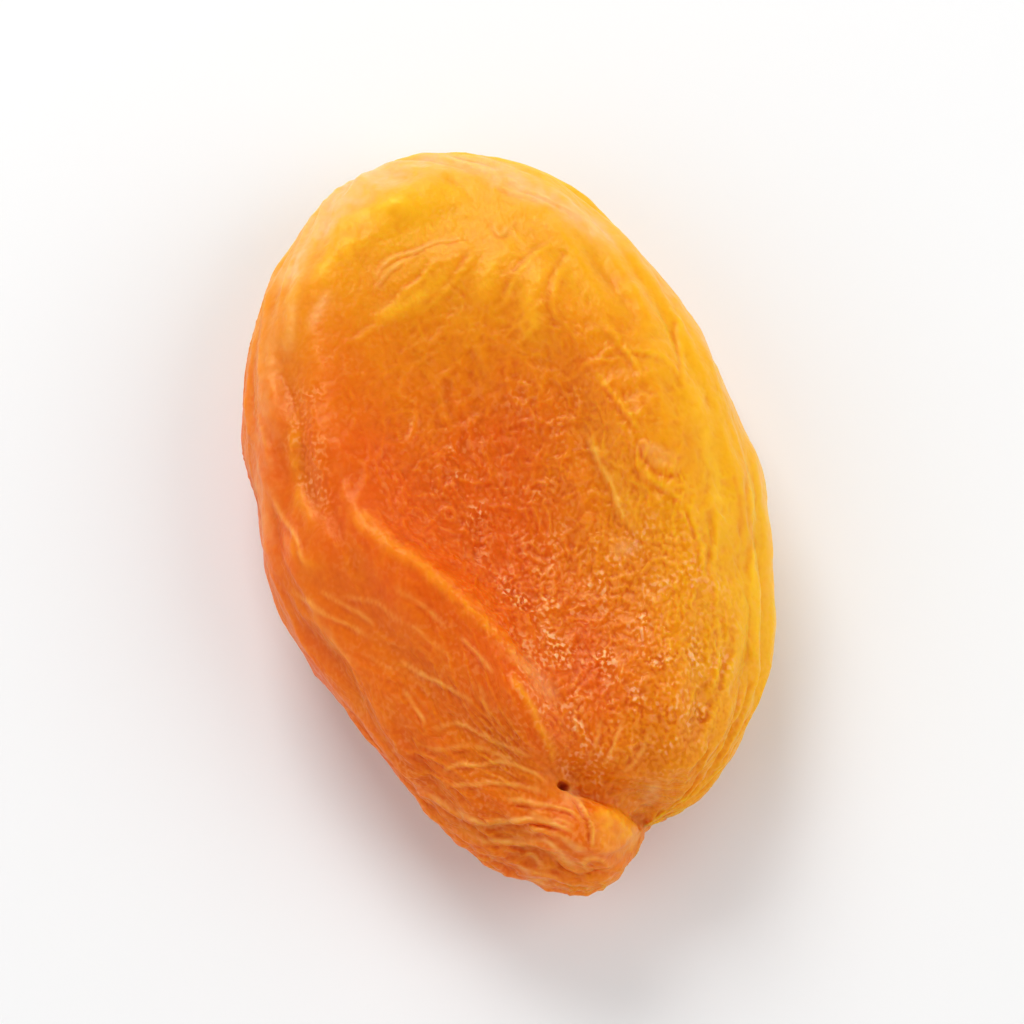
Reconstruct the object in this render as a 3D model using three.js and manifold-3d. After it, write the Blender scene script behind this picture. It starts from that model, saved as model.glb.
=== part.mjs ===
// A pitted, dried apricot: one flattened, leathery fruit that lies on its plump side, dished face up.
// Millimetres, +Z up, +Y towards the blossom end and -Y towards the stem end. The origin is on the surface
// that the fruit lies on, under the middle of its box.

import * as THREE from "three";
import { ImprovedNoise } from "three/addons/math/ImprovedNoise.js";
import { mergeVertices } from "three/addons/utils/BufferGeometryUtils.js";
import Module from "manifold-3d";

const { clamp, degToRad, lerp, smoothstep } = THREE.MathUtils;

// --- Driving dimensions ---

// Outline from above: distances from where the stone lay to the rim, every 20 degrees counter-clockwise
// from +X.
const STONE_PLACE = new THREE.Vector2(0.5, -1.5);
const RIM_RADII = [
  14.2, 14.4, 16.0, 19.0, 23.0, 24.6, 22.4, 18.9, 16.0,
  15.0, 14.3, 14.6, 17.0, 20.2, 19.6, 17.7, 15.8, 14.4,
];

// Cross-section: how far the skin stands above and below the rim, and how boxy it is (2 is an ellipse).
const FACE_HEIGHT = 6.2;
const BELLY_DEPTH = 5.6;
const SECTION_POWER = 2.45;
const RIM_WAVE = { height: 0.55, turn: degToRad(40) }; // the rim rises and falls twice on its way round

// The fruit's own axis runs from the pinched stem end to the blossom end, turned this far from the Y axis.
const AXIS_TURN = degToRad(12);

// The face has sunk in where the stone was taken out.
const DISH = {
  middle: new THREE.Vector2(-0.8, 0.4), halfWidth: 8.4, halfLength: 17.5, turn: degToRad(16), depth: 3.1,
  power: 1.4,
};

// The split through which the stone came out. It has closed as a raised lip on the face, then runs past the
// stem hole as a deep cleft between the tucked-in knob and the large lobe, out over the rim.
const LIP_LINE = [[-11.0, 2.2], [-8.3, -0.8], [-5.0, -4.2], [-2.5, -7.9], [-1.3, -11.9], [-0.3, -16.3]];
const LIP = { height: 1.7, dishSide: 0.8, flankSide: 2.8, rise: 0.45, endDrop: 0.6, endDropFrom: 0.8 };
const STEM_HOLE = { at: new THREE.Vector2(-0.1, -17.1), radius: 0.75, depth: 1.7 };
const CLEFT_LINE = [[-0.2, -17.0], [1.7, -18.3], [3.3, -19.2], [4.4, -20.1], [5.5, -22.2]];
const CLEFT = { depth: 2.7, halfWidth: 0.95, rimBite: 1.5, start: [-0.15, 0.3] };
const KNOB = {
  middle: new THREE.Vector2(1.3, -20.9), halfWidth: 3.2, halfLength: 1.9, turn: degToRad(-14), height: 1.9,
};
const KNOB_TIP = { angle: degToRad(272), halfAngle: degToRad(8), reach: 1.3 };
const LOBE = {
  middle: new THREE.Vector2(7.2, -15.2), halfWidth: 4.0, halfLength: 5.5, turn: degToRad(-25), height: 1.1,
};

// Creases pressed into the face, each with its depth (a negative depth is a raised fold) and half-width.
const CREASES = [
  { depth: 0.55, halfWidth: 0.8, line: [[-7.6, 12.6], [-6.4, 15], [-4.1, 16.4], [-1.4, 17.2], [2.6, 17.9]] },
  { depth: 0.5, halfWidth: 0.9, line: [[3.9, 17.6], [1.5, 13.2], [2.0, 10.4], [5.0, 3.4], [6.2, -6.6]] },
  { depth: 0.5, halfWidth: 0.8, line: [[-10.9, 13.0], [-11.4, 8.0], [-11.2, 2.5], [-9.6, -2.4]] },
  { depth: -0.35, halfWidth: 1.1, line: [[7.6, 11.4], [8.9, 6.0], [9.4, 0.0], [9.2, -6.5], [7.9, -12.0]] },
  { depth: 0.45, halfWidth: 0.8, line: [[-12, -2.6], [-9.5, -7.4], [-6.2, -12.2], [-3.4, -16.4], [0, -19]] },
];
const CREASE_END = 0.25; // share of a crease's length over which it fades out at either end

// Forms of the face fade in from the rim, by share of the way up the section: where each starts and is whole.
const RISE = { sunkForms: [0, 0.55], raisedForms: [-0.2, 0.5], cleft: [0, 0.4] };
// The cleft bites into the rim whole up to the first share of above, and no more past its second. Under the
// rim it dies away between the two shares of bellyEnd.
const BITE = { above: [0.35, 0.8], bellyEnd: [0.1, 0.7] };

// Wrinkles run from end to end like meridians: many to the turn, long along the fruit, deepest on the flanks.
const WRINKLE = {
  aroundScale: 4.6, alongScale: 1.7, fineScale: 1.7, coarsePart: 0.7, sharpness: 3.2,
  drift: 0.5, driftScale: 2.1, faceDepth: 0.22, flankDepth: 0.5, bellyDepth: 0.38,
};
const WRINKLE_SEEDS = { drift: 7, coarse: 3.7, fine: 11.3, swell: 5 };
const POLE_CALM = 0.3; // wrinkles are drawn together and fade within this girth of either end
const FLANK = [0.55, 0.95]; // share of the way out to the rim at which the flank starts and is whole
const SWELL = { scale: 0.13, height: 0.45 }; // slow unevenness of the dried flesh

const FLAT_SPOT_DEPTH = 0.15; // how much of the belly is pressed flat where the fruit rests
const BELLY_CALM = [0.36, 0.7]; // share of the way out at which the belly's relief starts and is whole

// Fineness of the mesh: steps round the fruit's axis and from end to end, and steps along a line of the face.
const AROUND = 96;
const ALONG = 58;
const LINE_STEPS = 40;

// --- Plain measures ---

const noise = new ImprovedNoise();

const bell = (distance, halfWidth) => Math.exp(-((distance / halfWidth) ** 2));
const between = (value, [from, to]) => smoothstep(value, from, to);
const angleBetween = (a, b) => Math.abs(Math.atan2(Math.sin(a - b), Math.cos(a - b)));

// Distance from the stone's place to the rim in one direction: a closed cubic through the stated radii, drawn
// out at the knob's tip.
function rimRadius(angle) {
  const count = RIM_RADII.length;
  const place = ((angle / (2 * Math.PI)) * count + count) % count;
  const start = Math.floor(place);
  const t = place - start;
  const [before, from, to, after] = [-1, 0, 1, 2].map((step) => RIM_RADII[(start + step + count) % count]);
  const cubic =
    (2 * t ** 3 - 3 * t ** 2 + 1) * from +
    (t ** 3 - 2 * t ** 2 + t) * ((to - before) / 2) +
    (3 * t ** 2 - 2 * t ** 3) * to +
    (t ** 3 - t ** 2) * ((after - from) / 2);
  return cubic + KNOB_TIP.reach * bell(angleBetween(angle, KNOB_TIP.angle), KNOB_TIP.halfAngle);
}

// A smooth curve through plan points. Its measure gives how far a plan point lies from it, on which side
// (positive to the left of the curve's direction), and the share of the curve's length to the nearest place.
function planCurve(points) {
  const curve = new THREE.CatmullRomCurve3(points.map(([x, y]) => new THREE.Vector3(x, y, 0)));
  const steps = curve.getSpacedPoints(LINE_STEPS);
  return (x, y) => {
    let best = { distance: Infinity };
    for (let i = 0; i + 1 < steps.length; i++) {
      const from = steps[i];
      const run = new THREE.Vector2(steps[i + 1].x - from.x, steps[i + 1].y - from.y);
      const away = new THREE.Vector2(x - from.x, y - from.y);
      const t = clamp(away.dot(run) / run.lengthSq(), 0, 1);
      const distance = Math.hypot(away.x - run.x * t, away.y - run.y * t);
      if (distance < best.distance) {
        const side = Math.sign(run.x * away.y - run.y * away.x);
        best = { distance, side, share: (i + t) / (steps.length - 1) };
      }
    }
    return best;
  };
}

// How far out a plan point is in an oval: 0 at its middle, 1 on its edge.
function ovalShare(x, y, { middle, halfWidth, halfLength, turn }) {
  const [dx, dy] = [x - middle.x, y - middle.y];
  const across = dx * Math.cos(turn) + dy * Math.sin(turn);
  const along = dy * Math.cos(turn) - dx * Math.sin(turn);
  return Math.hypot(across / halfWidth, along / halfLength);
}

// --- Forms of the face, each in millimetres at a plan point ---

const lipMeasure = planCurve(LIP_LINE);
const cleftMeasure = planCurve(CLEFT_LINE);
const creases = CREASES.map((crease) => ({ ...crease, measure: planCurve(crease.line) }));

const dishDepth = (x, y) => DISH.depth * Math.max(0, 1 - ovalShare(x, y, DISH) ** 2) ** DISH.power;
const knobHeight = (x, y) => KNOB.height * bell(ovalShare(x, y, KNOB), 1);
const lobeHeight = (x, y) => LOBE.height * bell(ovalShare(x, y, LOBE), 1);
const stemHoleDepth = (x, y) =>
  STEM_HOLE.depth * bell(Math.hypot(x - STEM_HOLE.at.x, y - STEM_HOLE.at.y), STEM_HOLE.radius);

// The lip is steep on the side of the dish and rounded on the side of the flank.
function lipHeight(x, y) {
  const { distance, side, share } = lipMeasure(x, y);
  const ends = between(share, [0, LIP.rise]) * (1 - LIP.endDrop * between(share, [LIP.endDropFrom, 1]));
  return LIP.height * bell(distance, side > 0 ? LIP.dishSide : LIP.flankSide) * ends;
}

function cleftDepth(x, y) {
  const { distance, share } = cleftMeasure(x, y);
  return CLEFT.depth * Math.exp(-distance / CLEFT.halfWidth) * between(share, CLEFT.start);
}

function creaseDepth(x, y) {
  let depth = 0;
  for (const crease of creases) {
    const { distance, share } = crease.measure(x, y);
    const ends = between(share, [0, CREASE_END]) * between(1 - share, [0, CREASE_END]);
    depth += crease.depth * bell(distance, crease.halfWidth) * ends;
  }
  return depth;
}

// --- The skin ---

// Where a direction from the fruit's middle meets the plain pillow that the fruit starts from.
function pillowPlace(direction) {
  const angle = Math.atan2(direction.y, direction.x);
  const outward = Math.hypot(direction.x, direction.y) ** (2 / SECTION_POWER);
  const upward = Math.abs(direction.z) ** (2 / SECTION_POWER);
  const onFace = direction.z > 0;
  const updown = onFace ? 1 : -1;
  const thickness = onFace ? FACE_HEIGHT : BELLY_DEPTH;
  const radius = rimRadius(angle);
  const away = new THREE.Vector3(Math.cos(angle), Math.sin(angle), 0);
  const rimRise = RIM_WAVE.height * outward ** 2 * Math.sin(2 * angle + RIM_WAVE.turn);
  const point = new THREE.Vector3(STONE_PLACE.x, STONE_PLACE.y, rimRise + updown * thickness * upward);
  point.addScaledVector(away, outward * radius);
  const normal = away.clone().multiplyScalar(outward ** (SECTION_POWER - 1) / radius);
  normal.setZ((updown * upward ** (SECTION_POWER - 1)) / thickness).normalize();
  return { point, normal, away, outward, upward, onFace };
}

// Moves a place of the pillow by the forms of the face, and by the cleft where it runs out over the rim.
function addFaceForms({ point, away, upward, onFace }) {
  const { x, y } = point;
  const up = onFace ? upward : 0;
  const sunkForms = dishDepth(x, y) + creaseDepth(x, y) + stemHoleDepth(x, y);
  const cleft = cleftDepth(x, y) * (onFace ? 1 : 1 - between(upward, BITE.bellyEnd));
  point.z += between(up, RISE.sunkForms) * (lipHeight(x, y) - sunkForms);
  point.z += between(up, RISE.raisedForms) * (knobHeight(x, y) + lobeHeight(x, y));
  point.z -= between(up, RISE.cleft) * cleft;
  point.addScaledVector(away, (-CLEFT.rimBite * cleft * (1 - between(upward, BITE.above))) / CLEFT.depth);
}

// Relief of the wrinkles at a direction whose Y is the fruit's own axis, before it is scaled to a depth: from
// about -1 in a furrow to 1 on a crest.
function wrinkleRelief(direction) {
  const girth = Math.hypot(direction.x, direction.z);
  const [turnX, turnZ] = girth > 0 ? [direction.x / girth, direction.z / girth] : [1, 0];
  const latitude = Math.asin(clamp(direction.y, -1, 1));
  const spot = direction.clone().multiplyScalar(WRINKLE.driftScale);
  const drift = WRINKLE.drift * noise.noise(spot.x + WRINKLE_SEEDS.drift, spot.y, spot.z);
  const ridge = (scale, seed) => {
    const across = turnX * WRINKLE.aroundScale * scale + drift + seed;
    const over = turnZ * WRINKLE.aroundScale * scale + drift;
    const along = latitude * WRINKLE.alongScale * scale + seed;
    return 1 - WRINKLE.sharpness * Math.abs(noise.noise(across, over, along));
  };
  const coarse = ridge(1, WRINKLE_SEEDS.coarse);
  const fine = ridge(WRINKLE.fineScale, WRINKLE_SEEDS.fine);
  return lerp(fine, coarse, WRINKLE.coarsePart) * between(girth, [0, POLE_CALM]);
}

// Wrinkles and slow swelling move the skin along the pillow's own slope, and leave the resting spot calm.
function addRelief({ point, normal, outward, onFace }, poleDirection) {
  const inner = onFace ? WRINKLE.faceDepth : WRINKLE.bellyDepth;
  const depth = lerp(inner, WRINKLE.flankDepth, between(outward, FLANK));
  const calm = onFace ? 1 : between(outward, BELLY_CALM);
  const spot = point.clone().multiplyScalar(SWELL.scale);
  const swell = SWELL.height * noise.noise(spot.x, spot.y, spot.z + WRINKLE_SEEDS.swell);
  point.addScaledVector(normal, calm * (depth * wrinkleRelief(poleDirection) + swell));
}

// The whole skin as one closed geometry: a sphere whose poles are the stem and blossom ends, moved point by
// point, then set on its lowest place with the box's middle over the origin.
function skinGeometry() {
  const sphere = new THREE.SphereGeometry(1, AROUND, ALONG);
  sphere.deleteAttribute("normal");
  sphere.deleteAttribute("uv");
  const geometry = mergeVertices(sphere, 1e-4);
  const position = geometry.getAttribute("position");
  const up = new THREE.Vector3(0, 0, 1);
  for (let i = 0; i < position.count; i++) {
    const poleDirection = new THREE.Vector3().fromBufferAttribute(position, i).normalize();
    const place = pillowPlace(poleDirection.clone().applyAxisAngle(up, AXIS_TURN));
    addFaceForms(place);
    addRelief(place, poleDirection);
    position.setXYZ(i, place.point.x, place.point.y, place.point.z);
  }
  geometry.computeBoundingBox();
  const { min, max } = geometry.boundingBox;
  return geometry.translate(-(min.x + max.x) / 2, -(min.y + max.y) / 2, -min.z - FLAT_SPOT_DEPTH);
}

// --- The solid ---

const wasm = await Module();
wasm.setup();

function toManifold(geometry) {
  const plain = geometry.clone();
  plain.deleteAttribute("normal");
  plain.deleteAttribute("uv");
  const merged = mergeVertices(plain, 1e-4);
  const vertProperties = new Float32Array(merged.getAttribute("position").array);
  const triVerts = new Uint32Array(merged.index.array);
  return new wasm.Manifold(new wasm.Mesh({ numProp: 3, vertProperties, triVerts }));
}

function toGeometry(manifold) {
  const { vertProperties, triVerts } = manifold.getMesh();
  const geometry = new THREE.BufferGeometry();
  geometry.setAttribute("position", new THREE.BufferAttribute(new Float32Array(vertProperties), 3));
  geometry.setIndex(new THREE.BufferAttribute(new Uint32Array(triVerts), 1));
  geometry.computeVertexNormals();
  return geometry;
}

// The fruit has settled onto a small flat spot, so the little that would be under the surface is cut away.
function settled(skin) {
  skin.computeBoundingBox();
  const room = 2 * skin.boundingBox.max.distanceTo(skin.boundingBox.min);
  const above = new THREE.BoxGeometry(room, room, room).translate(0, 0, room / 2);
  return toGeometry(toManifold(skin).intersect(toManifold(above)));
}

const driedFlesh = new THREE.MeshStandardMaterial({ color: 0xe87a1c, roughness: 0.45, metalness: 0 });

const apricot = new THREE.Group();
const fruit = new THREE.Mesh(settled(skinGeometry()), driedFlesh);
fruit.name = "dried_apricot";
apricot.add(fruit);

export default apricot;
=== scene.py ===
"""Dresses one pitted, dried apricot: its wrinkled skin, its translucent flesh and the studio round it.

The fruit lies on its belly with its sunken face up. Lengths are in metres, +Z is up, +Y runs towards the
blossom end and -Y towards the pinched stem end.
"""

from __future__ import annotations

import logging
import math
from dataclasses import dataclass
from enum import Enum

import bpy
import numpy as np
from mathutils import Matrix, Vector, noise

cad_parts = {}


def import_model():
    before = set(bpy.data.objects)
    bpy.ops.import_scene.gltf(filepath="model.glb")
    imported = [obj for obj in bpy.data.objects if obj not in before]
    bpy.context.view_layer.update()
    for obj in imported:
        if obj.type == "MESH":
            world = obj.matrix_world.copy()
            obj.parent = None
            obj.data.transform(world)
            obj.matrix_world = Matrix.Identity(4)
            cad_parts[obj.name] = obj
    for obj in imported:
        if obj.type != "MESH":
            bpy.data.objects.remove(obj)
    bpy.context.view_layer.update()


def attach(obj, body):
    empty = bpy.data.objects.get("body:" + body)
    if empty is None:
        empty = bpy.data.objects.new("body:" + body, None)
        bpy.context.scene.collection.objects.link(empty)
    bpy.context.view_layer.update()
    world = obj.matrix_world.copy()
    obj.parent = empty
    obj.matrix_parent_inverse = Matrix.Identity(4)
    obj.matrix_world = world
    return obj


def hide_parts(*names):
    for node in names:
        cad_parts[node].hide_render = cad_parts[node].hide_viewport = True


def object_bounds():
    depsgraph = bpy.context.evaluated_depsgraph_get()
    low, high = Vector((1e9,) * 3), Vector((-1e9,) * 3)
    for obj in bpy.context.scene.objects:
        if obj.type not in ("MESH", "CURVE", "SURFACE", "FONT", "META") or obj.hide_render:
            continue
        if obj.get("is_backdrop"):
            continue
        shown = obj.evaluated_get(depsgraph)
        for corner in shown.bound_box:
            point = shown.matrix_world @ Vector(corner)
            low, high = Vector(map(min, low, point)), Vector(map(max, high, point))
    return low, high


LOG = logging.getLogger("dried_apricot")
MM = 0.001

Places = np.ndarray
Shares = np.ndarray
Points = tuple[tuple[float, float], ...]
Colour = tuple[float, float, float, float]


# --- Measures over many points at once -------------------------------------------------------------------


def smooth(values: Shares, low: float, high: float) -> Shares:
    """Eases from 0 at low to 1 at high.

    Args:
        values: The numbers to ease.
        low: The number that gives 0.
        high: The number that gives 1; it may be below low, which turns the ramp round.

    Returns:
        A share between 0 and 1 for each value.
    """
    share = np.clip((values - low) / (high - low), 0.0, 1.0)
    return share * share * (3.0 - 2.0 * share)


def bell(distances: Shares, half_width: float) -> Shares:
    """Gives a round bump: 1 at no distance, about a third at the half-width, and next to nothing past two."""
    return np.exp(-((distances / half_width) ** 2))


def noise_at(places: Places) -> Shares:
    """Gives smooth noise, from about -1 to 1, at each row of places, in noise cells."""
    return np.array([noise.noise(Vector(place)) for place in places])


def wavered(places: Places) -> Places:
    """Moves places a little to and fro, so that a line drawn at them wavers as a natural one does.

    Args:
        places: The places to move.

    Returns:
        The moved places.
    """
    cells_and_reaches = ((1.7 * MM, 0.22 * MM), (0.55 * MM, 0.06 * MM))
    seeds = (11.3, 47.9)
    waver = np.zeros_like(places)
    for cell, reach in cells_and_reaches:
        for axis, seed in enumerate(seeds):
            waver[:, axis] += reach * noise_at(places / cell + seed)
    return places + waver


@dataclass(frozen=True)
class Mark:
    """How a kind of line shows on the skin.

    Attributes:
        height: How far it stands out; a line that is pressed in has a height below 0.
        half_width: Half its width at about a third of its height.
        glow: How much painted glow it gets, as of light shining through thin yellow flesh.
        pale: How pale it shows; on the rim this is a painted highlight.
        shade: How much painted shade it gets.
        groove: How deep the groove on its right side is, as a share of its height; the groove also gets
            painted shade.
    """

    height: float
    half_width: float
    glow: float = 0.0
    pale: float = 0.0
    shade: float = 0.0
    groove: float = 0.0


class Pen(Enum):
    """The kinds of line that are drawn on the skin."""

    # The glow of these lines is painted light: yellow, as of light shining through thin folds and threads.
    LIP = Mark(0.15 * MM, 0.5 * MM, glow=0.36)
    LIP_END = Mark(0.1 * MM, 0.25 * MM, glow=0.38)
    BAND = Mark(0.12 * MM, 0.4 * MM, glow=0.3)
    FOLD = Mark(0.065 * MM, 0.2 * MM, glow=0.3, groove=0.8)
    VEIL = Mark(0.12 * MM, 0.55 * MM, glow=0.5)
    SOFT_FOLD = Mark(0.25 * MM, 0.8 * MM, glow=0.2)
    THREAD = Mark(0.06 * MM, 0.12 * MM, glow=0.2, pale=0.18, groove=0.5)
    CORD = Mark(0.15 * MM, 0.13 * MM, glow=0.35, pale=0.36, groove=1.0)
    SCAR = Mark(0.05 * MM, 0.12 * MM, pale=0.3, groove=0.6)
    # A painted highlight along the rim, as of the back light caught on its edge.
    RIM = Mark(0.04 * MM, 0.9 * MM, pale=0.85)
    # Pale streaks; the one along the right rim is a painted highlight.
    STREAK = Mark(0.03 * MM, 0.3 * MM, pale=0.4)
    # Grooves, hollows and the cleft get painted shade.
    GROOVE = Mark(-0.08 * MM, 0.18 * MM, shade=0.4)
    HOLLOW = Mark(-0.18 * MM, 0.6 * MM, shade=0.25)
    SLIT = Mark(-0.35 * MM, 0.3 * MM, shade=0.2)


@dataclass(frozen=True)
class Course:
    """A smooth course over the skin, seen from above.

    Attributes:
        points: The plan points in millimetres that it runs through.
    """

    points: Points

    def curve(self, steps: int = 6) -> Places:
        """Gives plan points along the course.

        Args:
            steps: How many points each stretch between two of its own points gets.

        Returns:
            One row of X and Y for each point.
        """
        points = np.array(self.points) * MM
        ends = np.vstack([2 * points[0] - points[1], points, 2 * points[-1] - points[-2]])
        curve = []
        for before, start, end, after in zip(ends, ends[1:], ends[2:], ends[3:]):
            t = np.linspace(0.0, 1.0, steps, endpoint=False)[:, None]
            bend = (2 * before - 5 * start + 4 * end - after) * t**2
            twist = (3 * start - before - 3 * end + after) * t**3
            curve.append(0.5 * (2 * start + (end - before) * t + bend + twist))
        return np.vstack([*curve, points[-1:]])

    def measure(self, places: Places) -> tuple[Shares, Shares, Shares]:
        """Measures places against the course, seen from above.

        Args:
            places: The places to measure.

        Returns:
            Each place's distance from the course, the side it lies on (1 left of its direction, -1 right) and
            the share of its length at which it is nearest.
        """
        curve = self.curve()
        nearest = np.full(len(places), np.inf)
        side = np.ones(len(places))
        share = np.zeros(len(places))
        plan = places[:, :2]
        for index, (start, end) in enumerate(zip(curve, curve[1:])):
            run = end - start
            away = plan - start
            t = np.clip(away @ run / (run @ run), 0.0, 1.0)
            distance = np.linalg.norm(away - t[:, None] * run, axis=1)
            closer = distance < nearest
            nearest = np.where(closer, distance, nearest)
            turn = np.sign(run[0] * away[:, 1] - run[1] * away[:, 0])
            side = np.where(closer, turn, side)
            share = np.where(closer, (index + t) / (len(curve) - 1), share)
        return nearest, side, share

    def near(self, places: Places, reach: float) -> np.ndarray:
        """Finds the places in a box round the course that is wider than it by a reach on every side.

        Args:
            places: The places.
            reach: How much wider the box is.

        Returns:
            True for each place in the box.
        """
        points = np.array(self.points) * MM
        past_low = places[:, :2] > points.min(axis=0) - reach
        return (past_low & (places[:, :2] < points.max(axis=0) + reach)).all(axis=1)


@dataclass(frozen=True)
class Line:
    """A fold, crease or thread drawn on the skin.

    Attributes:
        pen: The kind of line.
        points: The plan points in millimetres that it runs through.
        fade: The share of its length over which it runs out at either end.
        weight: How strongly it is drawn.
    """

    pen: Pen
    points: Points
    fade: float = 0.2
    weight: float = 1.0

    def shares(self, places: Places) -> tuple[Shares, Shares]:
        """Gives how much of the line lies at each place: its weight on its middle, 0 away from it.

        Args:
            places: The places to measure.

        Returns:
            The shares of the line itself and of the groove beside it.
        """
        mark = self.pen.value
        course = Course(self.points)
        reach = 3.5 * mark.half_width
        near = course.near(places, reach)
        distance, side, along = course.measure(places[near])
        ends = self.weight * smooth(along, 0.0, self.fade) * smooth(along, 1.0, 1.0 - self.fade)
        shift = 0.8 * mark.half_width if mark.groove else 0.0
        line, groove = np.zeros(len(places)), np.zeros(len(places))
        line[near] = ends * bell(side * distance - shift, mark.half_width)
        if mark.groove:
            groove[near] = ends * mark.groove * bell(side * distance + shift, mark.half_width)
        return line, groove


@dataclass(frozen=True)
class Patch:
    """A soft-edged oval of the fruit, seen from above.

    Attributes:
        middle: Its middle in plan, in millimetres.
        half_width: Half its width in millimetres.
        half_length: Half its length in millimetres.
        turn: How far its length is turned from the Y axis, counter-clockwise, in degrees.
        edge: How far its edge is spread, as a share of its size.
        weight: How strongly it shows.
    """

    middle: tuple[float, float]
    half_width: float
    half_length: float
    turn: float = 0.0
    edge: float = 0.4
    weight: float = 1.0

    def share(self, places: Places) -> Shares:
        """Gives how much of the patch lies at each place.

        Args:
            places: The places to measure.

        Returns:
            Its weight well inside the oval, 0 well outside it.
        """
        turn = math.radians(self.turn)
        across, along = (places[:, :2] - np.array(self.middle) * MM).T
        width = across * math.cos(turn) + along * math.sin(turn)
        length = along * math.cos(turn) - across * math.sin(turn)
        reach = np.hypot(width / (self.half_width * MM), length / (self.half_length * MM))
        return self.weight * smooth(reach, 1.0 + self.edge, 1.0 - self.edge)


@dataclass(frozen=True)
class Fibres:
    """The way the flesh runs: round the fruit like meridians, out of the blossom end and into the stem hole.

    Attributes:
        middle: The fruit's middle.
        half_size: Half its size along each axis.
        blossom_end: The place where the fibres start.
        stem_end: The place where they meet.
    """

    middle: tuple[float, float, float]
    half_size: tuple[float, float, float]
    blossom_end: tuple[float, float, float]
    stem_end: tuple[float, float, float]

    def flatten(self, places: Places) -> np.ndarray:
        """Maps places onto a plane, with the belly's middle at infinity.

        Args:
            places: The places to map.

        Returns:
            A complex number for each place.
        """
        ball = (places - np.array(self.middle)) / np.array(self.half_size)
        ball = ball / np.linalg.norm(ball, axis=-1, keepdims=True)
        return (ball[..., 0] + 1j * ball[..., 1]) / (1.0 + 1e-4 + ball[..., 2])

    def measure(self, places: Places) -> tuple[Shares, Shares]:
        """Measures where places lie among the fibres.

        Args:
            places: The places to measure.

        Returns:
            The angle round the fibres' ends, and the latitude from the stem end to the blossom end.
        """
        plane = self.flatten(places)
        stem, blossom = self.flatten(np.array([self.stem_end, self.blossom_end]))
        ratio = (plane - stem) / (plane - blossom)
        along = np.log(np.maximum(np.abs(ratio), 1e-6))
        return np.angle(ratio), np.arctan(np.sinh(along))


@dataclass(frozen=True)
class Wrinkles:
    """Wrinkles that run along the fibres.

    Attributes:
        around: Noise cells across the fruit's half-width: more of them make finer wrinkles.
        along: Noise cells from end to end: fewer of them make longer wrinkles.
        height: How high a crest stands over the furrows beside it.
        sharpness: How thin the crests are.
        drift: How far the wrinkles wander, in noise cells.
        seed: Which wrinkles are drawn.
        elsewhere: The share of their strength that they keep where the skin isn't wrinkled.
    """

    around: float
    along: float
    height: float
    sharpness: float
    drift: float
    seed: float
    elsewhere: float

    def relief(self, places: Places, angle: Shares, latitude: Shares) -> Shares:
        """Gives the wrinkles' height.

        Args:
            places: The places on the skin.
            angle: Their angle round the fibres' ends.
            latitude: Their latitude between the two ends.

        Returns:
            A share from 0 in a furrow to 1 on a crest for each place.
        """
        bend_cell = 5.0 * MM
        wander = self.drift * noise_at(places / bend_cell + self.seed)
        cells = np.column_stack(
            [
                np.cos(angle) * self.around + wander + self.seed,
                np.sin(angle) * self.around - wander,
                latitude * self.along + self.seed,
            ]
        )
        crest = np.clip(1.0 - np.abs(noise_at(cells)) * self.sharpness, 0.0, 1.0)
        return crest * crest * (3.0 - 2.0 * crest)

    def kept(self, latitude: Shares, narrowest: float) -> Shares:
        """Gives how much of the wrinkles is left where they crowd together near the two ends.

        Args:
            latitude: The latitude of each place.
            narrowest: The width under which a wrinkle is gone.

        Returns:
            A share between 0 and 1 for each place.
        """
        reach = 18.0 * MM
        return smooth(reach / self.around * np.cos(latitude), narrowest, 2.5 * narrowest)


@dataclass(frozen=True)
class Crinkles:
    """A net of fine ridges such as a thin skin makes when it shrinks both ways.

    Attributes:
        cell: The size of the net's meshes.
        height: How high its ridges stand.
        stretch: How much longer than wide the meshes are, along the fruit.
        sharpness: How thin the ridges are.
        seed: Which net is drawn.
        elsewhere: The share of its strength that it keeps where the skin isn't crinkled.
    """

    cell: float
    height: float
    stretch: float
    sharpness: float
    seed: float
    elsewhere: float

    def relief(self, places: Places) -> Shares:
        """Gives the net's height.

        Args:
            places: The places on the skin.

        Returns:
            A share from 0 inside a mesh of the net to 1 on a ridge for each place.
        """
        cells = places / self.cell
        bend_cell, bend_reach = 0.6, 0.9
        starts = (self.seed, self.seed + 31.7, self.seed + 67.1)
        bend = np.column_stack([noise_at(cells * bend_cell + start) for start in starts])
        cells = (cells + bend_reach * bend) / np.array([1.0, self.stretch, 1.0]) + self.seed
        crest = np.clip(1.0 - np.abs(noise_at(cells)) * self.sharpness, 0.0, 1.0)
        return crest * crest * (3.0 - 2.0 * crest)


# --- Materials -------------------------------------------------------------------------------------------


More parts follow.
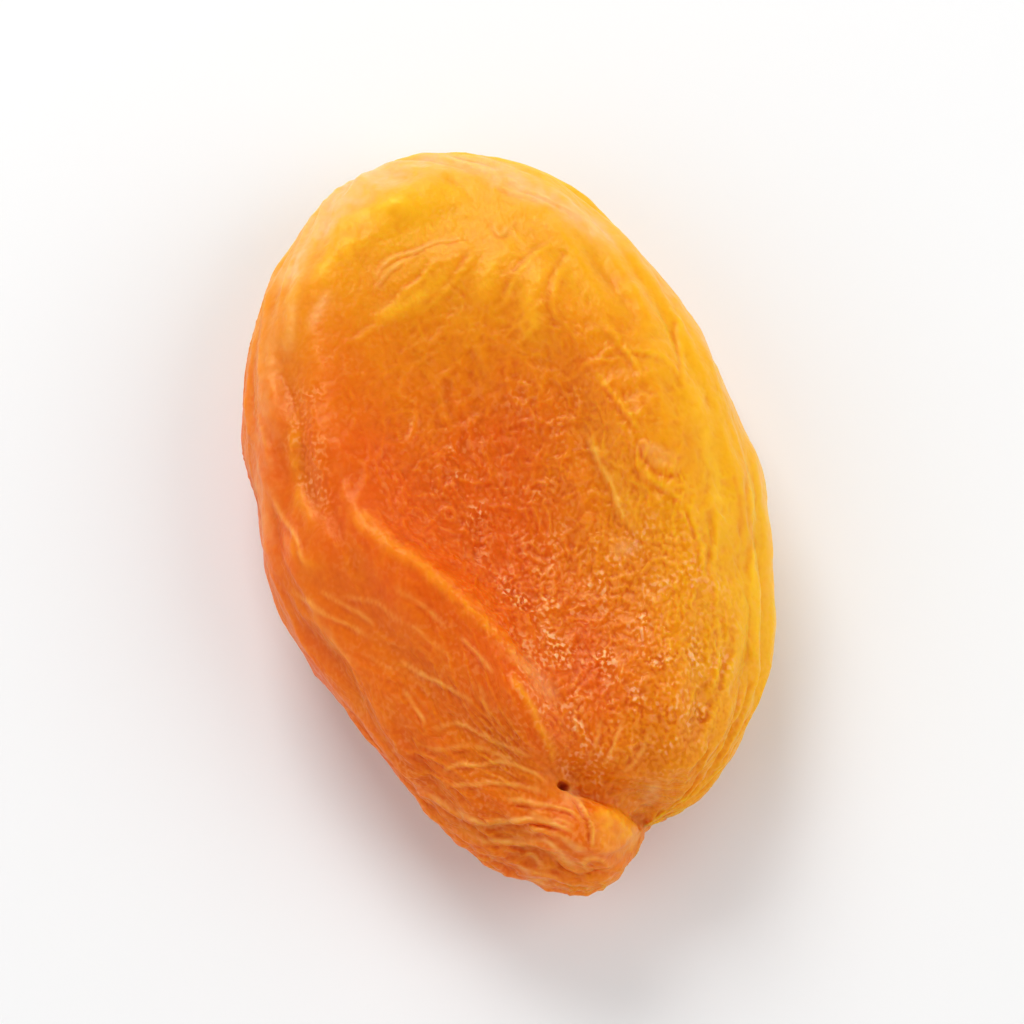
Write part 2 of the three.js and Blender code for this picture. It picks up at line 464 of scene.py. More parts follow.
class Value:
    """A node's output that takes part in plain arithmetic: each operation adds one Math node."""

    def __init__(self, tree: ShaderTree, socket: bpy.types.NodeSocket) -> None:
        """Wraps a socket.

        Args:
            tree: The tree that the socket is in.
            socket: The output socket.
        """
        self.tree = tree
        self.socket = socket

    def math(self, operation: str, *operands: Value | float) -> Value:
        """Adds a Math node.

        Args:
            operation: The Math node's operation.
            operands: Its inputs, in order.

        Returns:
            Its output.
        """
        return self.tree.make("ShaderNodeMath", {"operation": operation}, dict(enumerate(operands)))

    def __add__(self, other: Value | float) -> Value:
        """Adds another value."""
        return self.math("ADD", self, other)

    def __radd__(self, other: float) -> Value:
        """Adds this value to a number."""
        return self.math("ADD", other, self)

    def __sub__(self, other: Value | float) -> Value:
        """Takes another value away."""
        return self.math("SUBTRACT", self, other)

    def __rsub__(self, other: float) -> Value:
        """Takes this value from a number."""
        return self.math("SUBTRACT", other, self)

    def __mul__(self, other: Value | float) -> Value:
        """Multiplies by another value."""
        return self.math("MULTIPLY", self, other)

    def __rmul__(self, other: float) -> Value:
        """Multiplies a number by this value."""
        return self.math("MULTIPLY", other, self)

    def size(self) -> Value:
        """Drops the value's sign."""
        return self.math("ABSOLUTE", self)

    def between(self, low: float, high: float) -> Value:
        """Eases the value from 0 at low to 1 at high.

        Args:
            low: The value that gives 0.
            high: The value that gives 1.

        Returns:
            The eased value.
        """
        return self.tree.make(
            "ShaderNodeMapRange",
            {"interpolation_type": "SMOOTHSTEP"},
            {"Value": self, "From Min": low, "From Max": high},
        )


class ShaderTree:
    """The node tree of a material or of the surroundings."""

    def __init__(self, owner: bpy.types.Material | bpy.types.World) -> None:
        """Starts with no nodes at all.

        Args:
            owner: The material or the surroundings.
        """
        owner.use_nodes = True
        self.tree = owner.node_tree
        self.tree.nodes.clear()

    def make(
        self,
        kind: str,
        settings: dict[str, object] | None = None,
        inputs: dict[str | int, object] | None = None,
        output: str | int = 0,
    ) -> Value:
        """Adds one node of any type.

        Args:
            kind: The node's type.
            settings: Its settings, which are set before its sockets.
            inputs: A value or a link for each named or numbered socket.
            output: The output that is given back.

        Returns:
            The node's output.
        """
        node = self.tree.nodes.new(kind)
        for name, setting in (settings or {}).items():
            setattr(node, name, setting)
        for name, given in (inputs or {}).items():
            if isinstance(given, Value):
                self.tree.links.new(given.socket, node.inputs[name])
            else:
                node.inputs[name].default_value = given
        return Value(self, node.outputs[output] if node.outputs else None)

    def blend(self, share: Value | float, first: object, second: object) -> Value:
        """Mixes two colours.

        Args:
            share: How much of the second colour shows.
            first: The first colour.
            second: The second colour.

        Returns:
            The mixed colour.
        """
        settings = {"data_type": "RGBA", "clamp_factor": True}
        return self.make("ShaderNodeMix", settings, {0: share, 6: first, 7: second}, output=2)

    def attribute(self, name: str, output: str = "Fac") -> Value:
        """Reads what the mesh holds at each point under a name."""
        return self.make("ShaderNodeAttribute", {"attribute_name": name}, output=output)

    def scaled(self, place: Value, scale: tuple[float, float, float], start: object) -> Value:
        """Scales coordinates and moves them.

        Args:
            place: The coordinates.
            scale: The scale along each axis.
            start: What is added to them: three numbers or other coordinates.

        Returns:
            The new coordinates.
        """
        settings = {"operation": "MULTIPLY_ADD"}
        return self.make("ShaderNodeVectorMath", settings, {0: place, 1: scale, 2: start})

    def grain(
        self,
        place: Value,
        size: float,
        detail: float = 1.0,
        seed: float = 0.0,
        stretch: tuple[float, float, float] = (1.0, 1.0, 1.0),
        output: str = "Fac",
    ) -> Value:
        """Adds noise.

        Args:
            place: The coordinates that it is drawn on.
            size: The size of its largest spots.
            detail: How many finer layers it has.
            seed: Which noise is drawn.
            stretch: How many times longer its spots are along each axis.
            output: The noise's output.

        Returns:
            Its value, from 0 to 1 and mostly close to a half.
        """
        start = (seed * 7.3, seed * -4.1, seed * 2.7)
        cells = self.scaled(place, tuple(1.0 / (size * longer) for longer in stretch), start)
        return self.make(
            "ShaderNodeTexNoise",
            {"noise_dimensions": "3D"},
            {"Vector": cells, "Scale": 1.0, "Detail": detail},
            output=output,
        )

    def threads(self, noise: Value, width: float) -> Value:
        """Draws thin lines where a noise crosses its middle.

        Args:
            noise: The noise.
            width: How far from its middle the lines reach.

        Returns:
            1 in the middle of a line, 0 away from it.
        """
        return 1.0 - (noise - 0.5).size().between(0.0, width)


@dataclass(frozen=True)
class DriedFlesh:
    """The fruit's finish: moist, translucent dried flesh under a thin skin.

    Attributes:
        deep: The colour where the flesh is thick.
        light: The colour where it is thin and light comes through.
        furrow: The colour of the painted shade in furrows, grooves and hollows and between the specks.
        crest: The colour of the painted highlight on crests.
        glow: The colour of the painted glow of thin folds, and of the pale threads among the fibres.
        bright: The colour of that painted glow where the flesh is thin.
        pale: The colour of the painted highlight along the rim, and of pale scars, threads, cords and spots.
        shaded_hole: The colour of the painted shade inside the stem hole.
        sheen: The colour of the painted sheen on the skin's specks.
        glint: The colour of the painted glints on the brightest specks.
        gloss_tint: The colour of its gloss.
        translucency: How much of the light goes into the flesh.
        reach: How far red, green and blue light go in it, as shares of reach_scale.
        reach_scale: How far light goes in it.
        roughness: How matt the skin is.
        gloss: How strong its gloss is.
        bump_height: How high its finest grain stands.
        bump_strength: How strongly that grain shows.
        cloud, mottle, swirl, cluster, net, dot: The sizes of the spots of its patterns.
        streak, strand, hair: The widths of its streaks and strands among the fibres.
        speck_stretch: How many times longer the specks are along each axis.
        fibre_stretch: How many times longer the streaks and strands are along the fibres.
    """

    deep: Colour = (0.74, 0.105, 0.001, 1.0)
    light: Colour = (0.89, 0.490, 0.004, 1.0)
    furrow: Colour = (0.56, 0.050, 0.001, 1.0)
    crest: Colour = (0.88, 0.210, 0.004, 1.0)
    glow: Colour = (0.94, 0.380, 0.008, 1.0)
    bright: Colour = (0.93, 0.580, 0.020, 1.0)
    pale: Colour = (0.93, 0.500, 0.180, 1.0)
    shaded_hole: Colour = (0.28, 0.014, 0.001, 1.0)
    sheen: Colour = (0.96, 0.420, 0.140, 1.0)
    glint: Colour = (1.0, 0.660, 0.380, 1.0)
    gloss_tint: Colour = (1.0, 0.66, 0.32, 1.0)
    translucency: float = 0.7
    reach: tuple[float, float, float] = (1.0, 0.36, 0.08)
    reach_scale: float = 2.4 * MM
    roughness: float = 0.38
    gloss: float = 0.4
    bump_height: float = 0.09 * MM
    bump_strength: float = 0.6
    cloud: float = 5.0 * MM
    mottle: float = 1.0 * MM
    swirl: float = 1.6 * MM
    cluster: float = 1.6 * MM
    net: float = 0.5 * MM
    dot: float = 0.25 * MM
    streak: float = 0.2
    strand: float = 0.1
    hair: float = 0.045
    speck_stretch: tuple[float, float, float] = (1.0, 1.2, 1.0)
    fibre_stretch: tuple[float, float, float] = (1.0, 1.0, 3.0)

    def material(self) -> bpy.types.Material:
        """Builds the material.

        Returns:
            The material, which reads the skin's own attributes.
        """
        material = bpy.data.materials.new("dried flesh")
        tree = ShaderTree(material)
        own = tree.make("ShaderNodeTexCoord", output="Object")
        thin, crest, furrow = (tree.attribute(name) for name in ("thin", "crest", "furrow"))
        glow, pale, shade = (tree.attribute(name) for name in ("glow", "pale", "shade"))
        speckled, wrinkled, shaded_hole = (tree.attribute(name) for name in ("speckled", "wrinkled", "shaded_hole"))
        swirl = tree.grain(own, self.swirl, detail=0.0, seed=4.0, output="Color")
        fibre = tree.scaled(swirl, (0.14, 0.14, 0.14), tree.attribute("fibre", "Vector"))

        specks, fibres = self.speck_stretch, self.fibre_stretch
        cloud = tree.grain(own, self.cloud, seed=1.0)
        mottle = tree.grain(own, self.mottle, detail=2.0, seed=2.0)
        streak = tree.grain(fibre, self.streak, seed=5.0, stretch=fibres)
        strands = tree.threads(tree.grain(fibre, self.strand, seed=6.0, stretch=fibres), 0.04)
        fine_strands = tree.threads(tree.grain(fibre, self.hair, seed=7.0, stretch=fibres), 0.06)
        dots = tree.grain(own, self.dot, detail=0.3, seed=8.0, stretch=specks)
        net = tree.grain(own, self.net, detail=0.0, seed=10.0, stretch=specks)
        squiggles = tree.threads(net, 0.08) * dots.between(0.4, 0.6)
        cluster = tree.grain(own, self.cluster, seed=9.0).between(0.42, 0.62)
        specks_and_sheen = speckled * (0.3 + 0.7 * cluster) + (speckled - 1.0).between(0.0, 1.0) * 0.8
        sheen_specks = (dots.between(0.48, 0.68) * 0.8 + squiggles * 0.3) * specks_and_sheen
        glints = dots.between(0.56, 0.72) * (specks_and_sheen - 0.35).between(0.0, 0.8)
        shaded_pits = (1.0 - dots).between(0.5, 0.65) * (speckled - specks_and_sheen * 0.5)
        hairs = (strands * 0.1 + fine_strands * 0.07) * (0.05 + wrinkled)

        # Painted light: thin flesh is painted yellow, as if light shone through it, and shade, furrows and
        # grooves turn it more orange.
        depth = thin * (1.0 - shade * 0.8) * (1.0 - furrow * 0.25)
        depth = depth + (cloud - 0.5) * 0.25 + (streak - 0.5) * 0.25
        colour = tree.blend(depth, self.deep, self.light)
        # Painted highlight: crests are painted lighter.
        colour = tree.blend(crest * (0.1 + 0.3 * mottle), colour, tree.blend(thin, self.crest, self.light))
        # Painted shade in furrows, grooves and hollows and between the specks, with a darker mottle of the
        # flesh's own tone.
        shade_and_mottle = furrow * 0.45 + shade * 0.4 + (mottle - 0.5).between(0.0, 0.3) * 0.2
        colour = tree.blend(shade_and_mottle * (1.0 - thin * 0.8) + shaded_pits * (0.6 - thin * 0.3), colour, self.furrow)
        # Painted glow on thin folds, with the pale threads among the fibres.
        colour = tree.blend(glow + hairs, colour, tree.blend(thin, self.glow, self.bright))
        # Pale marks: the painted highlight along the rim, and pale scars, threads and cords.
        colour = tree.blend(pale * (0.6 + 0.8 * mottle), colour, self.pale)
        # Painted sheen and glints on the specks.
        colour = tree.blend(sheen_specks * 0.6, colour, self.sheen)
        colour = tree.blend(glints * 0.42, colour, self.glint)
        # Painted shade inside the stem hole.
        colour = tree.blend(shaded_hole, colour, self.shaded_hole)

        roughness = self.roughness + (mottle - 0.5) * 0.3 - specks_and_sheen * 0.12 + shaded_hole * 0.5
        height = dots * (0.3 + speckled * 1.1) + squiggles * speckled * 0.4 + hairs * 4.0 + mottle * 0.5
        bump = tree.make(
            "ShaderNodeBump",
            None,
            {"Strength": self.bump_strength, "Distance": self.bump_height, "Height": height},
            output="Normal",
        )
        shader = tree.make(
            "ShaderNodeBsdfPrincipled",
            {"subsurface_method": "RANDOM_WALK"},
            {
                "Base Color": colour,
                "Roughness": roughness,
                "Subsurface Weight": self.translucency,
                "Subsurface Radius": self.reach,
                "Subsurface Scale": self.reach_scale,
                "Specular IOR Level": self.gloss,
                "Specular Tint": self.gloss_tint,
                "Normal": bump,
            },
        )
        tree.make("ShaderNodeOutputMaterial", None, {"Surface": shader})
        return material


@dataclass(frozen=True)
class PaleFloor:
    """The floor's finish: plain matt white, very faintly clouded."""

    colour: Colour = (0.9, 0.9, 0.9, 1.0)
    cloud_colour: Colour = (0.8, 0.8, 0.8, 1.0)
    cloud_share: float = 0.02
    cloud: float = 0.3
    roughness: float = 0.6

    def material(self) -> bpy.types.Material:
        """Builds the material.

        Returns:
            The material.
        """
        material = bpy.data.materials.new("pale floor")
        tree = ShaderTree(material)
        faint = tree.grain(tree.make("ShaderNodeTexCoord", output="Object"), self.cloud)
        colour = tree.blend(faint * self.cloud_share, self.colour, self.cloud_colour)
        shader = tree.make(
            "ShaderNodeBsdfPrincipled", None, {"Base Color": colour, "Roughness": self.roughness}
        )
        tree.make("ShaderNodeOutputMaterial", None, {"Surface": shader})
        return material


# --- The fruit -------------------------------------------------------------------------------------------


def leave_only(piece: bpy.types.Object) -> None:
    """Makes one object the only selected one, and the active one.

    Args:
        piece: The object.
    """
    bpy.ops.object.select_all(action="DESELECT")
    piece.select_set(True)
    bpy.context.view_layer.objects.active = piece


def finish_with(piece: bpy.types.Object, kind: str, **settings: object) -> None:
    """Adds a modifier to a piece and applies it.

    Args:
        piece: The piece.
        kind: The modifier's type.
        settings: The modifier's settings.
    """
    leave_only(piece)
    modifier = piece.modifiers.new(kind.lower(), kind)
    for name, setting in settings.items():
        setattr(modifier, name, setting)
    bpy.ops.object.modifier_apply(modifier=modifier.name)


@dataclass
class DriedApricot:
    """The fruit's skin: the plain form of the frame with every fold, crease and wrinkle sculpted into it.

    Its lines and patches are in millimetres in plan. A field whose name ends in facing gives the two heights
    of the skin's normal at which a step starts to show and from which it shows in full.
    """

    node: str = "dried_apricot"
    name: str = "apricot_skin"

    # The mesh: for each round of halving the size of the largest face that it leaves, and 1 where it halves
    # only the detailed parts and the fine lines.
    merge_within: float = 0.002 * MM
    halvings: tuple[tuple[float, float], ...] = ((0.25 * MM, 0.0), (0.24 * MM, 0.0), (0.16 * MM, 1.0))
    halved_facing: tuple[float, float] = (-0.55, -0.25)
    fine_line: float = 0.25 * MM
    beside_line: tuple[float, float] = (0.02, 0.15)
    detailed: tuple[Patch, ...] = (
        Patch((3.5, -5.5), 7.5, 11.0, 8.0, 0.2),
        Patch((-2.5, -17.0), 9.5, 8.0, 20.0, 0.2),
    )

    # Smoothing: along a course it is whole within the first reach and none past the second.
    crease_reach: tuple[float, float] = (1.0 * MM, 2.6 * MM)
    crease_rounds: int = 60
    cleft_reach: tuple[float, float] = (1.0 * MM, 2.4 * MM)
    cleft_rounds: int = 300
    eased_facing: tuple[float, float] = (-0.6, -0.2)
    form_rounds: int = 60
    skin_rounds: int = 20
    near_rounds: int = 14
    broad_rounds: int = 100

    # What counts as a crest, which gets a painted highlight, or a furrow, which gets painted shade: heights
    # over the skin smoothed by the near and the broad rounds.
    fine_crest: float = 0.045 * MM
    crest_heights: tuple[float, float] = (0.05 * MM, 0.4 * MM)
    fine_furrow: float = -0.05 * MM
    fine_furrow_share: float = 0.7
    furrow_heights: tuple[float, float] = (-0.1 * MM, -0.6 * MM)

    # The forms: the lip, the cleft and the stem hole.
    form_facing: tuple[float, float] = (-0.3, 0.3)
    fold_facing: tuple[float, float] = (-0.25, 0.15)
    lip: Line = Line(
        Pen.LIP,
        (
            (-8.9, -1.1), (-8.2, -1.7), (-7.4, -2.6), (-6.4, -3.7), (-5.2, -5.0), (-4.4, -6.1),
            (-3.0, -8.0), (-2.4, -8.9), (-1.8, -10.0), (-1.1, -10.9), (-0.5, -11.7),
        ),
        0.25,
    )
    lip_end: Line = Line(
        Pen.LIP_END,
        ((-2.2, -11.2), (-1.7, -12.5), (-1.4, -13.4), (-1.1, -14.3), (-0.7, -15.4), (-0.4, -16.9)),
        0.15,
    )
    cleft: Line = Line(
        Pen.SLIT, ((-0.3, -17.2), (0.7, -18.0), (2.0, -18.7), (3.3, -19.2), (4.4, -19.9), (5.4, -21.6)), 0.22
    )
    hollow: Line = Line(
        Pen.HOLLOW,
        ((-8.4, 0.0), (-6.8, -1.7), (-5.2, -3.3), (-3.5, -5.4), (-1.9, -8.1), (-0.7, -10.5), (0.0, -13.0)),
    )
    # The stem hole: carved in, and painted with shade inside.
    hole: Patch = Patch((-0.1, -17.65), 0.22, 0.27, 60.0, 0.6)
    hole_depth: float = 0.7 * MM
    hole_facing: tuple[float, float] = (0.0, 0.4)
    eased_courses: tuple[Course, ...] = (
        Course(((-7.6, 12.6), (-6.4, 15), (-4.1, 16.4), (-1.4, 17.2), (2.6, 17.9))),
        Course(((3.9, 17.6), (1.5, 13.2), (2.0, 10.4))),
        Course(((-10.4, -5.8), (-7.9, -9.8), (-6.2, -12.2), (-4.4, -15.0))),
    )
    unevenness: float = 0.7
    uneven_cell: float = 1.3 * MM

    # The skin: its face and flank, its wrinkles and its crinkled net.
    face_edge: Course = Course((
        (-13.0, 5.0), (-9.6, -0.4), (-7.4, -2.6), (-5.2, -5.0), (-3.0, -8.0), (-1.8, -11.2), (-1.4, -13.4),
        (-0.7, -15.4), (-0.1, -17.4), (2.0, -18.9), (4.4, -20.1), (5.4, -23.0),
    ))
    past_edge: tuple[float, float] = (-0.3 * MM, 1.2 * MM)
    lost_past_edge: float = 0.8
    face_facing: tuple[float, float] = (0.3, 0.8)
    near_stem: tuple[float, float] = (-4.0 * MM, -16.0 * MM)
    gathered_away: float = 0.5
    off_floor: tuple[float, float] = (0.25 * MM, 0.9 * MM)
    fibres: Fibres = Fibres(
        middle=(0.0, 0.0, 6.2 * MM),
        half_size=(15.0 * MM, 23.2 * MM, 11.0 * MM),
        blossom_end=(-4.5 * MM, 22.0 * MM, 6.4 * MM),
        stem_end=(0.3 * MM, -17.6 * MM, 9.2 * MM),
    )
    fibre_ends: tuple[float, float] = (0.12, 0.4)
    narrowest_wrinkle: float = 0.4 * MM
    mean_relief: float = 0.4
    wrinkle_layers: tuple[Wrinkles, ...] = (
        Wrinkles(3.2, 1.3, 0.26 * MM, 1.5, 0.5, 3.1, 0.22),
        Wrinkles(6.0, 2.0, 0.12 * MM, 5.0, 0.7, 17.9, 0.15),
        Wrinkles(11.0, 3.6, 0.045 * MM, 4.0, 1.4, 29.3, 0.15),
    )
    crinkle_patch: Patch = Patch((1.5, -4.0), 11.0, 14.5, 8.0)
    crinkle_layers: tuple[Crinkles, ...] = (
        Crinkles(2.3 * MM, 0.07 * MM, 1.2, 6.0, 21.7, 0.4),
        Crinkles(1.2 * MM, 0.08 * MM, 1.3, 3.6, 5.3, 0.19),
        Crinkles(0.62 * MM, 0.05 * MM, 1.5, 2.8, 8.8, 0.24),
        Crinkles(0.38 * MM, 0.03 * MM, 1.5, 1.8, 12.1, 0.35),
    )

    # The tints: specks with painted sheen, pale spots and painted highlights, spots of painted glow, and
    # where the flesh is thin, which is painted as lit through from behind.
    speckled_flank: float = 0.15
    speckled_stem: float = 0.25
    # Where the skin is speckled: its bump is finer and its roughness lower, and its specks get painted sheen
    # and glints.
    speckle_patches: tuple[Patch, ...] = (
        Patch((-0.8, -6.2), 0.6, 1.6, 32.0, 0.7, weight=1.8),
        Patch((0.9, -9.6), 0.5, 1.6, 15.0, 0.7, weight=1.6),
        Patch((3.6, -10.8), 0.6, 0.7, edge=0.7, weight=1.6),
        Patch((6.1, -9.2), 0.4, 0.9, edge=0.7, weight=1.5),
        Patch((6.7, -11.8), 1.0, 0.6, 10.0, 0.7, weight=1.9),
        Patch((8.3, -14.8), 0.8, 0.9, edge=0.7, weight=1.5),
        Patch((1.3, -14.3), 0.5, 1.3, 8.0, 0.7, weight=1.3),
        Patch((4.7, -13.9), 0.7, 1.3, edge=0.7, weight=1.3),
        Patch((-2.1, -1.2), 0.9, 1.3, edge=0.7, weight=1.1),
        Patch((4.6, -6.6), 1.0, 1.2, edge=0.7, weight=1.1),
        Patch((1.3, -6.6), 1.0, 1.2, edge=0.7, weight=1.1),
        Patch((7.6, -7.3), 0.8, 1.0, edge=0.7, weight=0.9),
        Patch((8.6, -11.4), 0.7, 1.3, edge=0.7, weight=1.4),
        Patch((6.6, -14.8), 0.9, 1.0, edge=0.7, weight=1.3),
        Patch((1.5, 5.4), 1.3, 0.9, edge=0.7, weight=0.5),
        Patch((4.1, 4.8), 1.2, 0.9, edge=0.7, weight=0.6),
        Patch((-3.2, 2.1), 0.6, 1.8, edge=0.7, weight=0.9),
        Patch((2.4, 0.0), 1.2, 0.8, edge=0.7, weight=1.0),
        Patch((-2.3, -2.7), 0.6, 1.5, edge=0.7, weight=1.1),
        Patch((0.5, -1.0), 9.5, 9.0, 8.0, weight=0.34),
        Patch((4.0, -11.0), 8.0, 9.5, edge=0.25, weight=0.7),
        Patch((6.0, -15.8), 2.6, 1.5, 25.0, weight=0.9),
        Patch((9.4, -11.5), 1.0, 2.5, 20.0, weight=0.7),
        Patch((-11.3, 3.5), 1.2, 5.5, weight=0.6),
        Patch((-10.6, 7.8), 1.2, 0.7, weight=0.5),
    )
    groove_shade: float = 0.25
    flank_tint_facing: tuple[float, float] = (-0.3, 0.1)
    face_tint_facing: tuple[float, float] = (-0.05, 0.35)
    blotch_cells: tuple[float, float] = (0.9 * MM, 0.4 * MM)
    blotch_mean: float = 0.95
    # Pale spots, of which some are painted highlights, such as the small one beside the end of the cleft.
    pale_and_highlight_patches: tuple[Patch, ...] = (
        Patch((8.6, 0.3), 1.1, 0.6, -30.0, 0.5, weight=0.2),
        Patch((-1.1, -10.6), 0.5, 0.9, 35.0, 0.7, weight=0.25),
        Patch((-0.3, -12.3), 0.6, 1.0, 20.0, 0.7, weight=0.25),
        Patch((0.2, -18.5), 0.5, 0.7, edge=0.6, weight=0.4),
        Patch((4.9, -18.5), 0.45, 0.3, edge=0.6, weight=0.5),
        Patch((5.8, -4.6), 0.7, 0.35, edge=0.7, weight=0.35),
    )
    # Patches of painted glow, as of light shining through thin flesh; the one at the blossom end lightens the
    # shaded side of a fold.
    glow_patches: tuple[Patch, ...] = (
        Patch((2.5, -20.4), 1.4, 1.1, 40.0, 0.6, weight=0.5),
        Patch((-8.6, -0.9), 0.5, 1.5, 35.0, 0.6, weight=0.35),
        Patch((-2.4, 19.1), 2.6, 0.8, 8.0, 0.8, weight=0.35),
    )
    # Patches where the flesh is thicker and gets less of the painted glow.
    thick_patches: tuple[Patch, ...] = (
        Patch((4.0, -10.6), 3.0, 4.0, edge=0.6, weight=0.16),
    )
    thick_middle: tuple[float, float] = (-1.1 * MM, 2.2 * MM)
    thin_reach: tuple[float, float] = (16.7 * MM, 20.6 * MM)
    thin_turn: float = math.radians(10)
    thin_bearing: float = math.radians(50)
    thin_sides: tuple[float, float] = (-0.7, 0.6)
    thin_least: float = 0.1
    thick_core: float = 0.1

    # The threads of the flank, which run together at the stem hole, and the cords of the knob.
    flank_lines: tuple[Line, ...] = (
        Line(Pen.THREAD, ((-13.7, -3.0), (-12.8, -4.3), (-11.8, -5.5), (-10.7, -6.4), (-9.3, -7.6))),
        Line(Pen.THREAD, ((-12.1, -3.9), (-11.2, -4.7), (-10.3, -5.6), (-9.0, -7.0)), weight=0.8),
        Line(Pen.THREAD, ((-12.8, -3.9), (-12.3, -5.6), (-11.6, -7.4), (-10.6, -8.9)), weight=0.6),
        Line(Pen.THREAD, (
            (-10.9, -4.6), (-9.7, -5.2), (-8.7, -5.9), (-7.3, -7.4), (-6.0, -8.9), (-5.2, -10.2),
        ), weight=0.6),
        Line(Pen.THREAD, ((-8.0, -4.9), (-6.9, -5.9), (-5.9, -7.1), (-5.0, -8.2)), weight=0.7),
        Line(Pen.THREAD, (
            (-10.4, -8.0), (-9.2, -9.0), (-8.2, -9.6), (-7.0, -10.9), (-6.2, -12.2),
        ), weight=0.5),
        Line(Pen.THREAD, (
            (-8.3, -8.8), (-7.0, -10.1), (-6.1, -10.9), (-5.2, -11.8), (-4.6, -12.7),
        ), weight=1.3),
        Line(Pen.THREAD, ((-8.2, -10.7), (-7.7, -12.0), (-7.3, -13.1)), weight=1.2),
        Line(Pen.THREAD, ((-4.6, -8.6), (-3.9, -10.0), (-3.1, -11.4)), weight=1.2),
        Line(Pen.THREAD, ((-4.0, -11.4), (-3.9, -12.6), (-3.7, -13.7)), weight=0.7),
        Line(Pen.THREAD, (
            (-7.1, -13.3), (-5.7, -13.4), (-4.5, -14.1), (-3.4, -15.0), (-2.2, -15.7), (-1.3, -16.2),
        )),
        Line(Pen.THREAD, (
            (-7.7, -14.1), (-6.4, -14.7), (-4.9, -14.8), (-3.6, -15.5), (-2.4, -16.2),
        ), weight=0.7),
        Line(Pen.THREAD, (
            (-7.0, -15.9), (-5.9, -15.6), (-4.6, -15.9), (-3.3, -16.0), (-2.4, -16.5), (-1.6, -17.1),
            (-1.2, -17.9),
        ), weight=1.4),
        Line(Pen.THREAD, (
            (-7.4, -16.2), (-6.0, -16.7), (-4.5, -16.9), (-3.0, -17.4), (-1.9, -17.9), (-1.1, -18.4),
        )),
        Line(Pen.CORD, (
            (-8.9, -15.1), (-7.9, -16.4), (-6.8, -17.4), (-6.1, -18.1), (-5.2, -18.8), (-4.2, -19.1),
            (-3.1, -19.2), (-2.2, -19.4), (-1.2, -20.0), (-0.5, -20.6), (0.1, -21.2),
        )),
        Line(Pen.CORD, (
            (-6.5, -18.7), (-5.4, -19.6), (-4.3, -20.0), (-3.2, -20.4), (-2.1, -20.6), (-1.3, -21.2),
            (-0.8, -21.8), (-0.1, -22.3), (0.7, -22.2), (1.6, -22.4), (2.4, -22.6),
        )),
        Line(Pen.CORD, (
            (-4.0, -18.0), (-2.8, -18.2), (-1.9, -18.7), (-0.9, -19.1), (-0.1, -19.6), (0.5, -20.4),
        ), 0.2, 0.7),
        Line(Pen.THREAD, ((-2.6, -18.8), (-1.6, -19.5), (-0.7, -20.0), (0.0, -20.6))),
        Line(Pen.CORD, ((0.1, -18.3), (0.5, -19.1), (0.8, -20.1), (0.8, -21.1), (0.8, -21.9)), 0.25, 0.8),
        Line(Pen.THREAD, (
            (-3.1, -19.7), (-2.0, -20.1), (-1.1, -20.7), (-0.3, -21.4), (0.6, -21.9),
        ), weight=1.3),
        Line(Pen.THREAD, ((-3.6, -21.1), (-2.9, -21.7), (-1.9, -22.2), (-0.9, -22.6)), weight=1.4),
        Line(Pen.THREAD, ((-2.8, -20.8), (-2.3, -21.3), (-2.0, -22.0)), weight=1.2),
        Line(Pen.GROOVE, ((1.2, -20.4), (1.9, -21.2), (2.8, -21.6), (3.4, -21.5)), weight=0.8),
        Line(Pen.BAND, ((1.2, -19.2), (2.2, -19.8), (3.0, -20.4), (3.5, -21.2))),
        Line(Pen.THREAD, ((1.6, -11.9), (1.2, -14.0), (1.0, -15.8)), 0.4, 0.9),
        Line(Pen.THREAD, ((2.7, -13.8), (2.2, -15.4), (1.2, -16.8)), 0.4, 0.9),
        Line(Pen.THREAD, ((4.2, -13.9), (3.1, -16.0), (1.9, -17.3)), 0.4, 1.0),
        Line(Pen.THREAD, ((5.6, -14.8), (4.2, -16.8), (2.6, -17.8)), 0.4, 0.9),
    )
